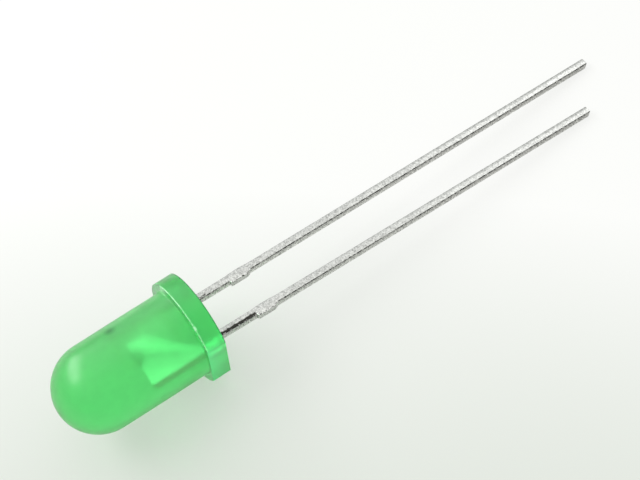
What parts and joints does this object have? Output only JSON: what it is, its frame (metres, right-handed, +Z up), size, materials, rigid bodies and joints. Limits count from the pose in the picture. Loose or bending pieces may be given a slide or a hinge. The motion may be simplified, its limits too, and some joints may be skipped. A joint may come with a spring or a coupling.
{
  "type": "through hole led",
  "caption": "Round tinted light-emitting diode: a domed, flanged epoxy body on two long square leads, the flange flattened beside the cathode.",
  "frame": {"origin": "on the surface the part lies on, under the middle of the whole part's box", "axes": "+X along the leads, away from the dome; -Y towards the cathode lead and the flange's flat; +Z up. The lead end lies lower: the body's axis is tilted by 6.0 degrees, and the part is rolled by 4.6 degrees about it, as it rests on the flange's rim and both lead tips"},
  "size_m": [0.0359, 0.0058, 0.0061],
  "materials": {
    "epoxy": "gloss",
    "tinned_lead": "satin",
    "chip": "gloss",
    "silver_glue": "satin",
    "gold": "gloss"
  },
  "bodies": {
    "root": {"lens_body": "epoxy", "cathode_lead": "tinned_lead", "anode_lead": "tinned_lead", "led_die": "chip", "die_attach": "silver_glue", "bond_wire": "gold"}
  },
  "joints": []
}
